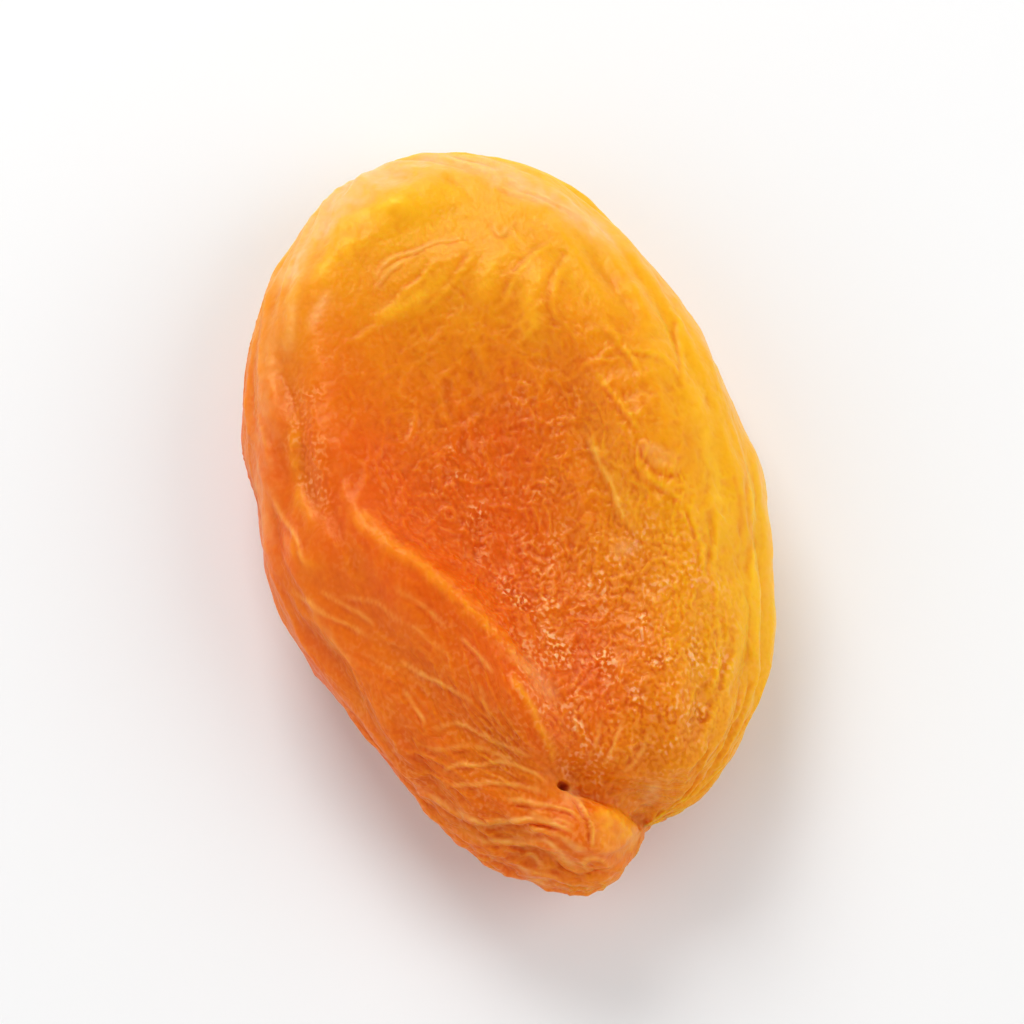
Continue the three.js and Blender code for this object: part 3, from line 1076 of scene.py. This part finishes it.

    # The folds and creases of the face, and the painted highlight along its rim.
    face_lines: tuple[Line, ...] = (
        Line(Pen.RIM, (
            (-10.6, 17.8), (-9.4, 19.4), (-7.9, 20.5), (-6.1, 21.6), (-4.4, 22.3), (-2.7, 22.4),
            (-0.9, 22.1), (1.1, 21.4), (2.6, 20.5), (3.8, 19.2), (5.1, 18.2), (6.5, 17.0), (7.6, 15.9),
            (8.8, 14.6), (10.1, 13.4),
        ), 0.12),
        Line(Pen.STREAK, (
            (8.8, 14.6), (10.1, 13.4), (11.0, 11.7), (11.8, 10.0), (12.6, 8.4), (13.3, 6.6), (14.1, 4.0),
            (14.6, 1.2), (14.8, -1.3), (14.7, -3.9), (14.2, -6.6), (13.2, -9.3),
        ), 0.12),
        Line(Pen.RIM, (
            (-11.3, 14.6), (-10.6, 16.0), (-9.6, 17.4), (-8.2, 18.8), (-6.6, 20.0), (-4.8, 20.9),
            (-2.6, 21.2), (0.4, 20.9),
        ), 0.2, 0.9),
        Line(Pen.RIM, (
            (-14.2, -2.5), (-14.5, -0.5), (-14.5, 1.8), (-14.2, 4.5), (-13.5, 7.5), (-12.7, 10.5),
            (-11.7, 13.5), (-10.9, 15.4),
        ), 0.25, 0.25),
        Line(Pen.SCAR, ((3.0, 20.0), (4.0, 18.8), (5.4, 17.7), (7.0, 16.2)), 0.2, 1.6),
        Line(Pen.SCAR, ((2.2, 19.6), (3.4, 18.6), (4.6, 17.9), (6.2, 16.6)), 0.2, 1.2),
        Line(Pen.BAND, (
            (-8.6, 18.0), (-9.5, 17.3), (-10.1, 16.2), (-10.6, 14.5), (-10.9, 12.8), (-11.0, 10.6),
        ), 0.2, 0.7),
        Line(Pen.STREAK, ((-8.5, 14.4), (-8.8, 13.6), (-9.4, 12.7), (-10.1, 11.4)), 0.3),
        Line(Pen.STREAK, ((-10.4, 14.8), (-10.9, 12.8), (-11.5, 10.5)), 0.3, 0.8),
        Line(Pen.BAND, (
            (-11.6, 8.0), (-11.9, 5.7), (-12.0, 4.3), (-12.1, 2.7), (-11.9, 1.1), (-11.5, -0.4),
        )),
        Line(Pen.BAND, ((-13.2, 0.3), (-13.0, -0.9), (-12.5, -2.0), (-12.0, -3.2)), 0.25, 0.6),
        Line(Pen.THREAD, ((-13.8, 2.8), (-13.5, 1.5), (-13.1, 0.1), (-12.7, -1.4), (-12.5, -2.6))),
        Line(Pen.SCAR, (
            (-6.6, 13.8), (-5.7, 14.3), (-5.0, 15.0), (-4.2, 15.4), (-3.2, 15.6), (-2.2, 15.9),
            (-1.0, 16.0), (0.1, 16.1), (1.3, 16.2),
        ), 0.3, 0.8),
        Line(Pen.GROOVE, ((-6.0, 14.4), (-5.0, 15.6), (-3.9, 15.9), (-2.4, 16.1), (-1.0, 16.3)), 0.25, 0.3),
        Line(Pen.SCAR, ((-5.9, 13.5), (-5.0, 14.3), (-4.2, 14.8), (-3.3, 15.1)), 0.3, 0.7),
        Line(Pen.SCAR, ((1.7, 16.6), (2.0, 15.8), (2.6, 16.0), (3.3, 16.7)), 0.15, 1.1),
        Line(Pen.GROOVE, ((-1.5, 13.6), (-1.0, 12.8), (-0.4, 11.9)), 0.3, 0.6),
        Line(Pen.FOLD, ((5.4, 15.2), (3.6, 14.0), (2.0, 12.4), (1.1, 10.8)), 0.3, 0.8),
        Line(Pen.FOLD, ((6.3, 14.6), (4.9, 12.7), (4.1, 10.6), (4.4, 8.4)), 0.3, 0.8),
        Line(Pen.VEIL, ((3.2, 15.4), (1.6, 14.2), (0.6, 12.6), (0.2, 11.2)), 0.3, 0.8),
        Line(Pen.VEIL, ((5.0, 13.9), (3.4, 11.9), (2.8, 9.8), (2.6, 8.2)), 0.3),
        Line(Pen.FOLD, ((-1.9, 15.3), (-2.9, 14.1), (-4.6, 13.1), (-6.3, 11.8)), 0.3, 0.6),
        Line(Pen.FOLD, ((0.6, 15.3), (-0.5, 14.2), (-2.0, 12.9), (-4.1, 11.8)), 0.3, 0.7),
        Line(Pen.VEIL, ((-1.0, 14.6), (-2.6, 13.2), (-4.8, 12.3), (-6.8, 11.4)), 0.3),
        Line(Pen.FOLD, ((-5.5, 11.8), (-6.8, 11.4), (-7.6, 10.7)), 0.3, 0.5),
        Line(Pen.SOFT_FOLD, ((-7.2, 16.6), (-4.8, 18.2), (-2.0, 18.9), (1.0, 18.7)), 0.3, 0.2),
        Line(Pen.VEIL, ((-9.8, 14.0), (-8.4, 15.8), (-6.7, 16.8), (-5.0, 17.3)), 0.3),
        Line(Pen.VEIL, ((-8.5, 17.4), (-7.1, 18.2), (-5.5, 18.9), (-3.6, 19.0), (-1.3, 19.0)), 0.3),
        Line(Pen.HOLLOW, ((2.6, 13.2), (1.7, 11.6), (1.4, 10.0), (1.8, 8.6)), 0.3, 0.35),
        Line(Pen.HOLLOW, ((0.0, 13.4), (-1.6, 11.8), (-3.6, 10.8), (-6.0, 10.6)), 0.3, 0.3),
        Line(Pen.FOLD, (
            (4.7, 3.2), (5.1, 1.8), (5.2, 0.3), (5.6, -1.2), (5.9, -2.5), (6.5, -3.7), (7.3, -4.8),
        )),
        Line(Pen.THREAD, (
            (4.6, 3.4), (5.0, 1.9), (5.3, 0.4), (5.7, -1.1), (6.0, -2.4), (6.6, -3.6),
        ), 0.3, 1.2),
        Line(Pen.VEIL, ((5.3, 3.0), (5.6, 1.2), (6.1, -0.8), (6.6, -2.6), (7.4, -4.0)), 0.25, 0.6),
        Line(Pen.FOLD, ((6.8, 0.6), (7.6, -0.9), (8.3, -1.7), (8.9, -2.4), (9.6, -2.8)), 0.2, 1.3),
        Line(Pen.GROOVE, ((7.3, 1.8), (7.6, 0.5), (8.2, -0.6), (9.0, -1.1), (10.0, -0.8)), 0.25, 0.8),
        Line(Pen.FOLD, ((9.6, -2.6), (9.8, -4.3), (9.9, -5.9), (9.7, -7.7)), 0.25),
        Line(Pen.FOLD, ((11.3, -2.6), (11.1, -4.4), (10.5, -6.2), (10.3, -8.0), (10.3, -9.8)), 0.25),
        Line(Pen.FOLD, (
            (13.5, 1.4), (13.8, -0.5), (13.6, -2.8), (13.4, -4.8), (12.8, -7.0), (12.1, -9.3),
        ), 0.25),
        Line(Pen.FOLD, ((11.5, 10.0), (11.2, 7.8), (11.0, 6.0), (11.1, 4.3)), 0.25),
        Line(Pen.FOLD, ((6.5, 8.9), (7.5, 7.7), (8.1, 6.3), (8.4, 4.6)), 0.25),
        Line(Pen.FOLD, ((7.7, 7.0), (9.1, 6.5), (10.4, 5.5), (11.3, 3.6)), 0.25, 0.9),
        Line(Pen.FOLD, ((5.3, 6.4), (6.4, 4.8), (7.2, 3.1), (7.8, 1.4)), 0.25),
        Line(Pen.VEIL, (
            (10.9, 5.2), (11.5, 3.3), (11.7, 1.7), (11.7, 0.1), (11.8, -1.6), (11.8, -3.5), (11.6, -5.4),
        )),
        Line(Pen.HOLLOW, ((10.4, 2.6), (10.7, 0.6), (10.9, -1.6), (10.7, -3.8)), 0.3, 0.6),
        Line(Pen.GROOVE, ((13.0, 0.0), (12.9, -2.1), (12.8, -3.7), (12.5, -5.4)), 0.25, 0.6),
        Line(Pen.FOLD, ((10.3, -8.6), (10.1, -10.8), (9.4, -12.7), (8.4, -14.3)), 0.25, 0.9),
        Line(Pen.FOLD, ((11.7, -8.6), (11.1, -10.9), (10.1, -12.9), (8.9, -15.0), (7.3, -17.0)), 0.25, 0.9),
        Line(Pen.FOLD, ((7.1, -10.1), (6.9, -11.6), (6.4, -13.0)), 0.25, 0.8),
        Line(Pen.SOFT_FOLD, ((8.6, 11.9), (9.3, 10.3), (9.8, 8.4), (9.9, 6.2), (10.5, 4.1))),
        Line(Pen.HOLLOW, ((4.2, 12.0), (4.3, 9.6), (5.0, 7.2), (5.4, 5.2)), 0.3, 0.6),
        Line(Pen.HOLLOW, ((7.9, 10.2), (8.1, 8.2), (8.7, 5.9)), 0.3, 0.5),
    )

    @property
    def forms(self) -> tuple[Line, ...]:
        """Gives the deepest forms: the lip and its end, the hollow beside it, and the closed cleft."""
        return self.lip, self.lip_end, self.hollow, self.cleft

    @staticmethod
    def places(piece: bpy.types.Object) -> Places:
        """Reads a mesh's points.

        Args:
            piece: The mesh's object.

        Returns:
            One row for each point.
        """
        flat = np.empty(len(piece.data.vertices) * 3)
        piece.data.vertices.foreach_get("co", flat)
        return flat.reshape(-1, 3)

    @staticmethod
    def facings(piece: bpy.types.Object) -> Places:
        """Reads a mesh's normals at its points.

        Args:
            piece: The mesh's object.

        Returns:
            One row for each point.
        """
        flat = np.empty(len(piece.data.vertices) * 3)
        piece.data.vertex_normals.foreach_get("vector", flat)
        return flat.reshape(-1, 3)

    def cast(self) -> bpy.types.Object:
        """Casts the skin from the frame's solid: the same form, as one smooth quad mesh.

        Returns:
            The piece, still without its finer forms.
        """
        piece = bpy.data.objects.new(self.name, bpy.data.objects[self.node].data.copy())
        piece.data.name = self.name
        piece.data.materials.clear()
        bpy.context.scene.collection.objects.link(piece)
        leave_only(piece)
        bpy.ops.mesh.customdata_custom_splitnormals_clear()
        bpy.ops.object.mode_set(mode="EDIT")
        bpy.ops.mesh.select_all(action="SELECT")
        bpy.ops.mesh.remove_doubles(threshold=self.merge_within)
        bpy.ops.mesh.tris_convert_to_quads(face_threshold=math.pi, shape_threshold=math.pi)
        bpy.ops.object.mode_set(mode="OBJECT")
        bpy.ops.object.shade_smooth()
        finish_with(piece, "SUBSURF", levels=1, render_levels=1)
        for course in self.eased_courses:
            self.ease_along(piece, course, self.crease_reach, self.crease_rounds)
        fine_lines = [line for line in self.face_lines if line.pen.value.half_width <= self.fine_line]
        for largest, detail in self.halvings:
            places, facing = self.places(piece), self.facings(piece)[:, 2]
            near_lines = np.maximum.reduce([line.shares(places)[0] for line in fine_lines])
            shares = [patch.share(places) for patch in self.detailed]
            detailed = np.maximum.reduce([*shares, smooth(near_lines, *self.beside_line)])
            upward = smooth(facing, *self.halved_facing)
            self.halve(piece, upward * (1.0 - detail + detail * detailed), largest)
        return piece

    @staticmethod
    def halve(piece: bpy.types.Object, shares: Shares, largest: float) -> None:
        """Halves the mesh's larger faces where finer forms are to come.

        Args:
            piece: The piece.
            shares: Over a half at the points whose faces are halved.
            largest: The size of the largest face that is left as it is.
        """
        mesh = piece.data
        leave_only(piece)
        bpy.ops.object.mode_set(mode="EDIT")
        bpy.ops.mesh.select_all(action="DESELECT")
        bpy.ops.object.mode_set(mode="OBJECT")
        corners = np.empty(len(mesh.loops), dtype=np.int32)
        mesh.loops.foreach_get("vertex_index", corners)
        starts = np.empty(len(mesh.polygons), dtype=np.int32)
        mesh.polygons.foreach_get("loop_start", starts)
        areas = np.empty(len(mesh.polygons))
        mesh.polygons.foreach_get("area", areas)
        wanted = np.logical_and.reduceat((shares > 0.5)[corners], starts)
        mesh.polygons.foreach_set("select", wanted & (areas > largest**2))
        bpy.ops.object.mode_set(mode="EDIT")
        bpy.ops.mesh.select_mode(type="FACE")
        bpy.ops.mesh.subdivide(number_cuts=1, smoothness=1.0, ngon=False)
        bpy.ops.object.mode_set(mode="OBJECT")

    def ease_along(
        self, piece: bpy.types.Object, course: Course, reach: tuple[float, float], rounds: int
    ) -> None:
        """Smooths the skin along a course, so that a finer line can be drawn there.

        Args:
            piece: The piece.
            course: The course.
            reach: How far from the course it is smoothed whole, and how far at all.
            rounds: How many times it is smoothed.
        """
        distance, _, _ = course.measure(self.places(piece))
        shares = smooth(distance, reach[1], reach[0]) * smooth(self.facings(piece)[:, 2], *self.eased_facing)
        group = piece.vertex_groups.new(name="eased")
        for index in np.flatnonzero(shares > 0.0):
            group.add([int(index)], float(shares[index]), "REPLACE")
        finish_with(piece, "SMOOTH", factor=0.5, iterations=rounds, vertex_group=group.name)
        piece.vertex_groups.clear()

    def eased(self, piece: bpy.types.Object, rounds: int) -> tuple[Places, Places]:
        """Measures a smoothed copy of the piece, which tells its broad form from its relief.

        Args:
            piece: The piece.
            rounds: How many times the copy is smoothed.

        Returns:
            The places and the facings of the copy's points.
        """
        copy = piece.copy()
        copy.data = piece.data.copy()
        bpy.context.scene.collection.objects.link(copy)
        finish_with(copy, "SMOOTH", factor=0.5, iterations=rounds)
        measured = self.places(copy), self.facings(copy)
        bpy.data.objects.remove(copy)
        return measured

    def carve(self, piece: bpy.types.Object, relief: Shares, facing: Places) -> None:
        """Moves the skin out or in, but never through the floor.

        Args:
            piece: The piece.
            relief: How far each point moves out.
            facing: The way out at each point.
        """
        places = self.places(piece) + facing * relief[:, None]
        places[:, 2] = np.maximum(places[:, 2], 0.0)
        piece.data.vertices.foreach_set("co", places.ravel())
        piece.data.update()

    def drawn(self, lines: tuple[Line, ...], places: Places) -> Shares:
        """Draws lines on the skin.

        Args:
            lines: The lines.
            places: The places on the skin.

        Returns:
            How far the lines move the skin out at each place.
        """
        places = wavered(places)
        relief = np.zeros(len(places))
        for line in lines:
            crest, groove = line.shares(places)
            relief += line.pen.value.height * (crest - groove)
        return relief * (1.0 + self.unevenness * noise_at(places / self.uneven_cell))

    def shape_forms(self, piece: bpy.types.Object) -> None:
        """Works the lip, the cleft and the stem hole, the forms that are cut deepest.

        Args:
            piece: The piece.
        """
        self.ease_along(piece, Course(self.cleft.points[1:]), self.cleft_reach, self.cleft_rounds)
        _, facing = self.eased(piece, self.form_rounds)
        places = self.places(piece)
        relief = self.drawn(self.forms, places) - self.hole_depth * self.hole.share(places)
        self.carve(piece, relief * smooth(facing[:, 2], *self.form_facing), facing)

    def shape_folds(self, piece: bpy.types.Object) -> None:
        """Works the folds, threads and creases of the flank, the knob and the face.

        Args:
            piece: The piece.
        """
        _, facing = self.eased(piece, self.skin_rounds)
        relief = self.drawn((*self.flank_lines, *self.face_lines), self.places(piece))
        self.carve(piece, relief * smooth(facing[:, 2], *self.fold_facing), facing)

    def shape_skin(self, piece: bpy.types.Object) -> dict[str, np.ndarray]:
        """Works the wrinkles along the fibres and the crinkled net.

        Args:
            piece: The piece.

        Returns:
            How speckled and how wrinkled the skin is at each point, and where it lies among the fibres.
        """
        _, facing = self.eased(piece, self.skin_rounds)
        places = self.places(piece)
        on_face = smooth(facing[:, 2], *self.face_facing)
        distance, side, _ = self.face_edge.measure(places)
        outside = smooth(-side * distance, *self.past_edge) * on_face
        inside = on_face * (1.0 - self.lost_past_edge * outside)
        near_stem = smooth(places[:, 1], *self.near_stem)
        gathered = self.gathered_away + (1.0 - self.gathered_away) * near_stem
        wrinkled = np.clip(1.0 - on_face + outside * gathered, 0.0, 1.0) * gathered
        crinkled = self.crinkle_patch.share(places) * inside
        angle, latitude = self.fibres.measure(places)

        relief = np.zeros(len(places))
        for layer in self.wrinkle_layers:
            strength = layer.elsewhere + (1.0 - layer.elsewhere) * wrinkled
            strength *= layer.kept(latitude, self.narrowest_wrinkle)
            relief += layer.height * (layer.relief(places, angle, latitude) - self.mean_relief) * strength
        for net in self.crinkle_layers:
            strength = net.elsewhere + (1.0 - net.elsewhere) * crinkled
            relief += net.height * (net.relief(places) - self.mean_relief) * strength
        self.carve(piece, relief * smooth(places[:, 2], *self.off_floor), facing)
        speckled = np.maximum.reduce([patch.share(places) for patch in self.speckle_patches])
        return {
            "speckled": np.maximum(speckled * inside, self.speckled_flank + self.speckled_stem * near_stem),
            "wrinkled": wrinkled * smooth(np.cos(latitude), *self.fibre_ends),
            "fibre": np.column_stack([np.cos(angle), np.sin(angle), latitude]),
        }

    def tints(self, places: Places, upward: Shares) -> dict[str, Shares]:
        """Gives the tints of the lines drawn on the skin: painted glow, pale marks with painted highlights,
        and painted shade.

        Args:
            places: The places on the skin.
            upward: How far the skin faces up at each of them, as the height of its normal.

        Returns:
            A share between 0 and 1 for each place, by tint.
        """
        left = {name: np.ones(len(places)) for name in ("glow", "pale", "shade")}
        places = wavered(places)
        blotches = sum(self.unevenness * noise_at(places / cell) for cell in self.blotch_cells)
        blotched = np.clip(self.blotch_mean + blotches, 0.0, 2.0)
        on_flank = blotched * smooth(upward, *self.flank_tint_facing)
        on_face = blotched * smooth(upward, *self.face_tint_facing)
        for lines, shown in ((self.flank_lines, on_flank), ((*self.forms, *self.face_lines), on_face)):
            for line in lines:
                crest, groove = line.shares(places)
                for name, rest in left.items():
                    rest *= 1.0 - np.clip(getattr(line.pen.value, name) * crest * shown, 0.0, 1.0)
                left["shade"] *= 1.0 - np.clip(self.groove_shade * groove * shown, 0.0, 1.0)
        for name, patches in (("pale", self.pale_and_highlight_patches), ("glow", self.glow_patches)):
            for patch in patches:
                left[name] *= 1.0 - np.clip(patch.share(places) * on_face, 0.0, 1.0)
        return {name: 1.0 - rest for name, rest in left.items()}

    def thinness(self, places: Places) -> Shares:
        """Gives how thin the flesh is: most at the blossom end and down the right side, least in the middle.
        The finish paints thin flesh yellow, as a painted glow of light shining through it.

        Args:
            places: The places on the skin.

        Returns:
            A share between 0 and 1 for each place.
        """
        turn = self.thin_turn
        across, along = (places[:, :2] - np.array(self.thick_middle)).T
        width = (across * math.cos(turn) - along * math.sin(turn)) / self.thin_reach[0]
        length = (across * math.sin(turn) + along * math.cos(turn)) / self.thin_reach[1]
        toward = np.cos(np.arctan2(length, width) - self.thin_bearing)
        thin = self.thin_least + (1.0 - self.thin_least) * smooth(toward, *self.thin_sides)
        thin *= (np.hypot(width, length) - self.thick_core) / (1.0 - self.thick_core)
        for patch in self.thick_patches:
            thin -= patch.share(places)
        return np.clip(thin, 0.0, 1.0)

    def sculpt(self, piece: bpy.types.Object) -> dict[str, np.ndarray]:
        """Works every fold, crease and wrinkle into the skin.

        Args:
            piece: The skin's piece.

        Returns:
            What the finish needs to know at each point, by attribute name.
        """
        self.shape_forms(piece)
        self.shape_folds(piece)
        shares = self.shape_skin(piece)

        places = self.places(piece)
        near, _ = self.eased(piece, self.near_rounds)
        broad, facing = self.eased(piece, self.broad_rounds)
        fine_height = np.einsum("ij,ij->i", places - near, facing)
        height = np.einsum("ij,ij->i", places - broad, facing)
        high = smooth(fine_height, 0.0, self.fine_crest) + smooth(height, *self.crest_heights)
        low = self.fine_furrow_share * smooth(fine_height, 0.0, self.fine_furrow)
        low += smooth(height, *self.furrow_heights)
        return {
            **shares,
            **self.tints(places, facing[:, 2]),
            "thin": self.thinness(places),
            "crest": np.clip(high, 0.0, 1.0),
            "furrow": np.clip(low, 0.0, 1.0),
            "shaded_hole": self.hole.share(places) * smooth(facing[:, 2], *self.hole_facing),
        }

    def build(self) -> bpy.types.Object:
        """Models and dresses the fruit.

        Returns:
            The finished piece.
        """
        piece = self.cast()
        for name, values in self.sculpt(piece).items():
            kind, field = ("FLOAT", "value") if values.ndim == 1 else ("FLOAT_VECTOR", "vector")
            attribute = piece.data.attributes.new(name, kind, "POINT")
            attribute.data.foreach_set(field, values.astype(np.float32).ravel())
        leave_only(piece)
        bpy.ops.object.shade_smooth()
        piece.data.materials.append(DriedFlesh().material())
        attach(piece, "root")
        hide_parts(self.node)
        return piece


# --- The studio ------------------------------------------------------------------------------------------


@dataclass(frozen=True)
class Softbox:
    """A square studio light that faces the fruit.

    Attributes:
        name: Its name.
        azimuth: The side that it stands on, counted as the camera's azimuth is, in degrees.
        elevation: How high it stands, in degrees.
        distance: How far away it stands.
        size: The length of its side.
        power: Its power in watts.
        colour: Its colour.
    """

    name: str
    azimuth: float
    elevation: float
    distance: float
    size: float
    power: float
    colour: tuple[float, float, float] = (1.0, 1.0, 1.0)

    def hang(self, target: Vector) -> bpy.types.Object:
        """Hangs the light.

        Args:
            target: The place that it faces.

        Returns:
            The light.
        """
        back = direction_back(self.azimuth, self.elevation)
        turn = back.to_track_quat("Z", "Y").to_euler()
        bpy.ops.object.light_add(type="AREA", location=target + back * self.distance, rotation=turn)
        light = bpy.context.active_object
        light.name = light.data.name = self.name
        light.data.size = self.size
        light.data.energy = self.power
        light.data.color = self.colour
        return light


def direction_back(azimuth: float, elevation: float) -> Vector:
    """Gives the direction from the fruit to something that looks at it.

    Args:
        azimuth: Degrees round the fruit; 0 looks along +Y and 90 along -X.
        elevation: Degrees above the floor.

    Returns:
        A direction of length one.
    """
    around, above = math.radians(azimuth), math.radians(elevation)
    flat = math.cos(above)
    return Vector((math.sin(around) * flat, -math.cos(around) * flat, math.sin(above)))


@dataclass
class Studio:
    """The pale floor, the light and the camera.

    Attributes:
        azimuth: The side that the camera stands on, in degrees.
        elevation: How high it stands, in degrees.
        lens: Its focal length in millimetres.
        sensor: The width of its sensor in millimetres.
        height_shown: The length that fills its picture at the fruit.
        floor_size: The length of the floor's side.
        floor_gap: How far the floor lies under the fruit.
        low_strength: How bright the surround is low round the fruit.
        high_strength: How bright it is overhead.
        dimming: The heights of a direction between which the one goes over into the other.
        lights: The studio lights.
        clip_start: The distance from which the camera sees things.
    """

    azimuth: float = -10.0
    elevation: float = 72.0
    lens: float = 180.0
    sensor: float = 36.0
    height_shown: float = 0.060
    floor_size: float = 3.0
    floor_gap: float = 0.02 * MM
    low_strength: float = 1.05
    high_strength: float = 0.3
    dimming: tuple[float, float] = (0.1, 0.8)
    lights: tuple[Softbox, ...] = (
        Softbox("back light", -170.0, 40.0, 0.6, 0.3, 2.0),
        Softbox("left light", -75.0, 42.0, 0.6, 0.45, 0.6),
        Softbox("right light", 75.0, 40.0, 0.6, 0.45, 1.2),
    )
    clip_start: float = 0.01

    def build(self, target: Vector) -> None:
        """Sets up everything round the fruit.

        Args:
            target: The middle of the fruit.
        """
        self.floor()
        for softbox in self.lights:
            softbox.hang(target)
        self.sky()
        self.camera(target)

    def floor(self) -> bpy.types.Object:
        """Lays the floor just under the fruit.

        Returns:
            The floor.
        """
        bpy.ops.mesh.primitive_plane_add(size=self.floor_size, location=(0.0, 0.0, -self.floor_gap))
        floor = bpy.context.active_object
        floor.name = "floor"
        bpy.ops.object.transform_apply(location=True)
        floor.data.materials.append(PaleFloor().material())
        floor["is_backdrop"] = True
        return floor

    def sky(self) -> None:
        """Surrounds the scene with white light that is brightest low round the fruit."""
        world = bpy.data.worlds.new("white surround")
        bpy.context.scene.world = world
        bpy.context.scene.view_settings.view_transform = "Standard"
        tree = ShaderTree(world)
        toward = tree.make("ShaderNodeTexCoord", output="Generated")
        height = tree.make("ShaderNodeSeparateXYZ", None, {"Vector": toward}, output="Z")
        change = self.high_strength - self.low_strength
        strength = self.low_strength + change * height.between(*self.dimming)
        light = tree.make("ShaderNodeBackground", None, {"Color": (1.0, 1.0, 1.0, 1.0), "Strength": strength})
        tree.make("ShaderNodeOutputWorld", None, {"Surface": light})

    def camera(self, target: Vector) -> bpy.types.Object:
        """Points the camera at the fruit.

        Args:
            target: The place that it looks at.

        Returns:
            The camera.
        """
        back = direction_back(self.azimuth, self.elevation)
        distance = self.height_shown * self.lens / self.sensor
        turn = back.to_track_quat("Z", "Y").to_euler()
        bpy.ops.object.camera_add(location=target + back * distance, rotation=turn)
        camera = bpy.context.active_object
        camera.data.lens = self.lens
        camera.data.sensor_width = self.sensor
        camera.data.clip_start = self.clip_start
        bpy.context.scene.camera = camera
        return camera


def main() -> None:
    """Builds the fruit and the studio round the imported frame."""
    logging.basicConfig(level=logging.INFO, format="%(name)s: %(message)s")
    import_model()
    low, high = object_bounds()

    fruit = DriedApricot().build()
    LOG.info("%s: %d faces", fruit.name, len(fruit.data.polygons))
    Studio().build((low + high) / 2)
    LOG.info("studio: floor, lights and camera")


if __name__ == "__main__":
    main()
